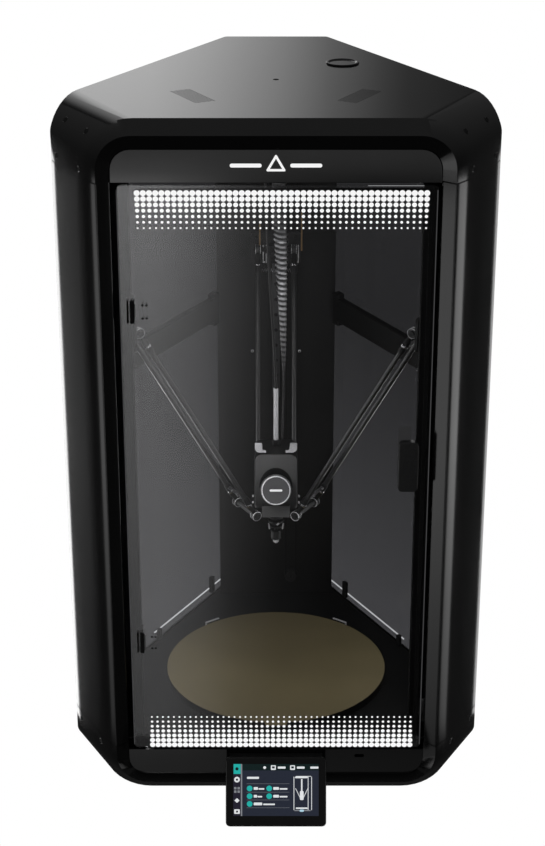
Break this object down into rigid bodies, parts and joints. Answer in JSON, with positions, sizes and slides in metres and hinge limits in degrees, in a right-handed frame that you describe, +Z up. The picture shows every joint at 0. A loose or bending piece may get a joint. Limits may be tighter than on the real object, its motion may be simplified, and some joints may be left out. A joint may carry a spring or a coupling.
{
  "type": "delta 3d printer",
  "caption": "Enclosed delta 3D printer: tall three-sided cabinet with smoked door and side panels, round heated bed, rail towers, arm pairs, print head and tilted touch screen",
  "frame": {"origin": "centre line of the build plate, at the flat underside of the base pan", "axes": "+Z up, -Y out of the front door, +X to the right seen from the front"},
  "size_m": [0.5878, 0.5723, 1.0112],
  "materials": {
    "satin_black": "satin black moulded cabinet shell with a soft sheen",
    "black_sheet": "fine matt black powder coat",
    "black_plastic": "moulded matt black plastic",
    "smoked_panel": "smoked translucent side panel",
    "smoked_door": "smoked clear door with printed white dots",
    "rail_steel": "ground bright steel",
    "supply_case": "plain pressed aluminium case",
    "dark_metal": "black anodised metal",
    "carbon_rod": "dark woven carbon tube with a clear coat",
    "hotend_metal": "machined metal, brass at the nozzle",
    "build_surface": "textured olive-gold print surface on spring steel",
    "circuit_board": "green circuit board",
    "rubber": "matt black rubber",
    "tube_plastic": "smooth dark guide tube",
    "screen_glass": "glossy black touch screen"
  },
  "bodies": {
    "cabinet": {"top_cap": "satin_black", "port_grommet": "rubber", "base_pan": "satin_black", "rubber_foot_left": "rubber", "rubber_foot_right": "rubber", "rubber_foot_rear": "rubber", "corner_cover_left": "satin_black", "corner_cover_right": "satin_black", "rear_cover": "satin_black", "side_panel_left": "smoked_panel", "side_panel_right": "smoked_panel", "side_brace_left": "black_sheet", "side_brace_right": "black_sheet", "header_panel": "satin_black", "chin_panel": "satin_black", "tower_column_left": "black_sheet", "tower_column_right": "black_sheet", "tower_column_rear": "black_sheet", "linear_rail_left": "rail_steel", "linear_rail_right": "rail_steel", "linear_rail_rear": "rail_steel", "stepper_motor_left": "dark_metal", "stepper_motor_right": "dark_metal", "stepper_motor_rear": "dark_metal", "drive_belt_left": "rubber", "drive_belt_right": "rubber", "drive_belt_rear": "rubber", "floor_deck": "black_sheet", "heated_bed": "dark_metal", "build_plate": "build_surface", "power_supply": "supply_case", "mainboard": "circuit_board", "power_inlet": "black_plastic", "screen_bracket": "black_plastic", "screen_case": "black_plastic", "screen_glass": "screen_glass", "cable_hose": "rubber", "filament_tube": "tube_plastic"},
    "door": {"door_glass": "smoked_door", "door_handle": "black_plastic", "door_hinge_upper": "black_plastic", "door_hinge_lower": "black_plastic"},
    "print_head": {"effector_plate": "black_plastic", "head_shell": "satin_black", "fan_cover": "satin_black", "hotend": "hotend_metal"},
    "head_fan": {"fan_rotor": "black_plastic"},
    "left_carriage": {"carriage_left": "dark_metal", "arm_pair_left": "carbon_rod"},
    "right_carriage": {"carriage_right": "dark_metal", "arm_pair_right": "carbon_rod"},
    "rear_carriage": {"carriage_rear": "dark_metal", "arm_pair_rear": "carbon_rod"},
    "left_drive": {"drive_pulley_left": "rail_steel"},
    "right_drive": {"drive_pulley_right": "rail_steel"},
    "rear_drive": {"drive_pulley_rear": "rail_steel"},
    "left_idler": {"idler_pulley_left": "rail_steel"},
    "right_idler": {"idler_pulley_right": "rail_steel"},
    "rear_idler": {"idler_pulley_rear": "rail_steel"},
    "switch_rocker": {"power_switch": "black_plastic"}
  },
  "joints": [
    {"name": "door_swing", "type": "hinge", "parent": "cabinet", "child": "door", "pos_m": [-0.19, -0.19, 0.486], "axis": [0, 0, -1], "range_deg": [0, 100]},
    {"name": "head_lift", "type": "slide", "parent": "cabinet", "child": "print_head", "axis": [0, 0, 1], "range_m": [-0.203, 0.225], "deforming": ["cable_hose", "filament_tube"]},
    {"name": "left_carriage_slide", "type": "slide", "parent": "cabinet", "child": "left_carriage", "axis": [0, 0, 1], "range_m": [-0.205, 0.227]},
    {"name": "right_carriage_slide", "type": "slide", "parent": "cabinet", "child": "right_carriage", "axis": [0, 0, 1], "range_m": [-0.205, 0.227]},
    {"name": "rear_carriage_slide", "type": "slide", "parent": "cabinet", "child": "rear_carriage", "axis": [0, 0, 1], "range_m": [-0.205, 0.227]},
    {"name": "left_drive_spin", "type": "hinge", "parent": "cabinet", "child": "left_drive", "pos_m": [-0.22504, -0.10222, 0.115], "axis": [-0.866, -0.5, 0], "continuous": true},
    {"name": "right_drive_spin", "type": "hinge", "parent": "cabinet", "child": "right_drive", "pos_m": [0.20104, -0.14378, 0.115], "axis": [0.866, -0.5, 0], "continuous": true},
    {"name": "rear_drive_spin", "type": "hinge", "parent": "cabinet", "child": "rear_drive", "pos_m": [0.024, 0.246, 0.115], "axis": [0, 1, 0], "continuous": true},
    {"name": "left_idler_spin", "type": "hinge", "parent": "cabinet", "child": "left_idler", "pos_m": [-0.22504, -0.10222, 0.947], "axis": [-0.866, -0.5, 0], "continuous": true},
    {"name": "right_idler_spin", "type": "hinge", "parent": "cabinet", "child": "right_idler", "pos_m": [0.20104, -0.14378, 0.947], "axis": [0.866, -0.5, 0], "continuous": true},
    {"name": "rear_idler_spin", "type": "hinge", "parent": "cabinet", "child": "rear_idler", "pos_m": [0.024, 0.246, 0.947], "axis": [0, 1, 0], "continuous": true},
    {"name": "fan_spin", "type": "hinge", "parent": "print_head", "child": "head_fan", "pos_m": [0, -0.055, 0.409], "axis": [0, -0.9397, 0.342], "continuous": true},
    {"name": "switch_rock", "type": "hinge", "parent": "cabinet", "child": "switch_rocker", "pos_m": [0.014, 0.303, 0.04], "axis": [1, 0, 0], "range_deg": [0, 14]}
  ],
  "couplings": [
    {"joint": "left_carriage_slide", "follows": "head_lift", "ratio": 1},
    {"joint": "right_carriage_slide", "follows": "head_lift", "ratio": 1},
    {"joint": "rear_carriage_slide", "follows": "head_lift", "ratio": 1},
    {"joint": "left_drive_spin", "follows": "head_lift", "rad_per_m": 125},
    {"joint": "right_drive_spin", "follows": "head_lift", "rad_per_m": 125},
    {"joint": "rear_drive_spin", "follows": "head_lift", "rad_per_m": 125},
    {"joint": "left_idler_spin", "follows": "head_lift", "rad_per_m": 125},
    {"joint": "right_idler_spin", "follows": "head_lift", "rad_per_m": 125},
    {"joint": "rear_idler_spin", "follows": "head_lift", "rad_per_m": 125}
  ]
}
